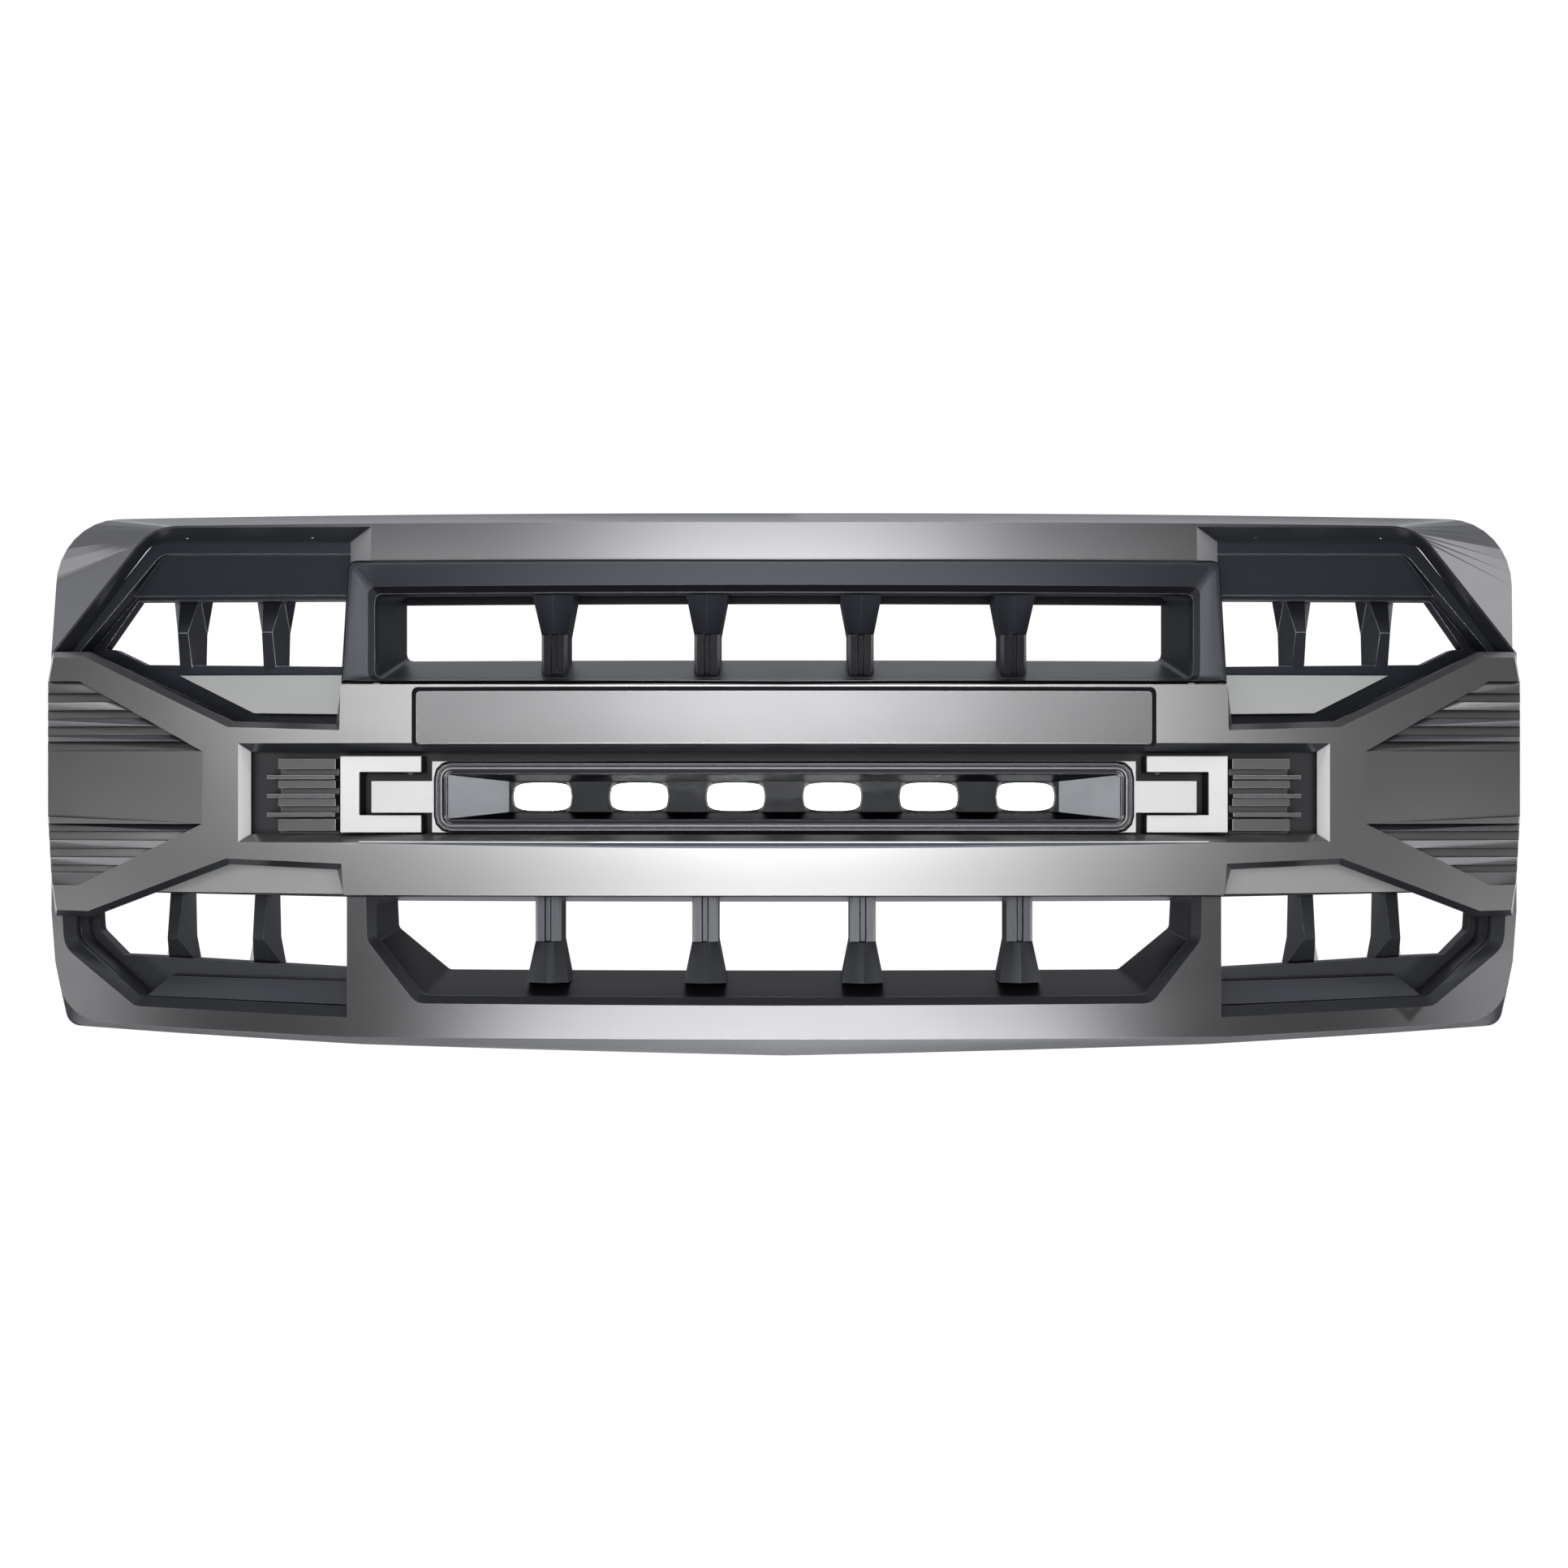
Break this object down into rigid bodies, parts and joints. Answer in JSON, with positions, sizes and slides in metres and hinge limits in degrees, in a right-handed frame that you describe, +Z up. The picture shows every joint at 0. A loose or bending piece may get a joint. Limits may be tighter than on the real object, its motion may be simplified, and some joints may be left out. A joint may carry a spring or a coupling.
{
  "type": "front grille",
  "caption": "Bow-tie front grille with louvred ends, finned air openings, a blank name plate and a tilting light bar between marker lamps.",
  "frame": {"origin": "middle of the rear face of the centre locating post at the top of the grille, on the mounting plane; the light bar's axis is 197 mm below it", "axes": "+X to the right as seen by someone in front of the vehicle, +Y towards the rear of the vehicle, +Z up; the grille faces -Y"},
  "size_m": [1.112, 0.153, 0.4089],
  "materials": {
    "graphite_plastic": "satin, fine grain",
    "dark_plastic": "satin, darker",
    "white_diffuser": "satin white diffuser",
    "black_metal": "black powder coat",
    "circuit_board": "green solder mask",
    "black_rubber": "matte",
    "clear_lens": "clear polycarbonate",
    "bright_reflector": "vacuum-metallised",
    "silver_paint": "satin silver paint",
    "zinc_steel": "zinc plated"
  },
  "bodies": {
    "grille": {"outer_surround": "graphite_plastic", "upper_frame": "graphite_plastic", "cross_belt": "graphite_plastic", "name_plate": "graphite_plastic", "upper_fin_insert": "dark_plastic", "lower_fin_insert": "dark_plastic", "corner_insert_upper_right": "dark_plastic", "corner_insert_upper_left": "dark_plastic", "corner_insert_lower_right": "dark_plastic", "corner_insert_lower_left": "dark_plastic", "lamp_tray": "dark_plastic", "vent_rails_right": "graphite_plastic", "vent_rails_left": "graphite_plastic", "marker_lens_right": "white_diffuser", "marker_lens_left": "white_diffuser", "marker_housing_right": "black_metal", "marker_housing_left": "black_metal", "marker_led_board_right": "circuit_board", "marker_led_board_left": "circuit_board", "light_bar_bracket_right": "black_metal", "light_bar_bracket_left": "black_metal", "bracket_screw_1_right": "zinc_steel", "bracket_screw_1_left": "zinc_steel", "bracket_screw_2_right": "zinc_steel", "bracket_screw_2_left": "zinc_steel", "insert_screw_upper_1_right": "zinc_steel", "insert_screw_upper_1_left": "zinc_steel", "insert_screw_upper_2_right": "zinc_steel", "insert_screw_upper_2_left": "zinc_steel", "insert_screw_lower_1_right": "zinc_steel", "insert_screw_lower_1_left": "zinc_steel", "insert_screw_lower_2_right": "zinc_steel", "insert_screw_lower_2_left": "zinc_steel", "speed_nut_1_right": "zinc_steel", "speed_nut_1_left": "zinc_steel", "speed_nut_2_right": "zinc_steel", "speed_nut_2_left": "zinc_steel", "spring_clip_1_right": "zinc_steel", "spring_clip_1_left": "zinc_steel", "spring_clip_2_right": "zinc_steel", "spring_clip_2_left": "zinc_steel"},
    "light_bar": {"light_bar_housing": "black_metal", "light_bar_gasket": "black_rubber", "light_bar_lens": "clear_lens", "light_bar_bezel": "black_metal", "light_bar_reflector": "bright_reflector", "light_bar_led_board": "circuit_board", "light_bar_end_cap_right": "silver_paint", "light_bar_end_cap_left": "silver_paint", "pivot_bolt_right": "zinc_steel", "pivot_bolt_left": "zinc_steel", "aim_lock_bolt_right": "zinc_steel", "aim_lock_bolt_left": "zinc_steel", "cable_gland": "black_metal", "vent_plug": "black_rubber", "wiring_loom": "black_rubber", "harness_connector": "dark_plastic"}
  },
  "joints": [
    {"name": "light_bar_aim", "type": "hinge", "parent": "grille", "child": "light_bar", "pos_m": [0, -0.092, -0.197], "axis": [1, 0, 0], "range_deg": [-3, 3]}
  ]
}
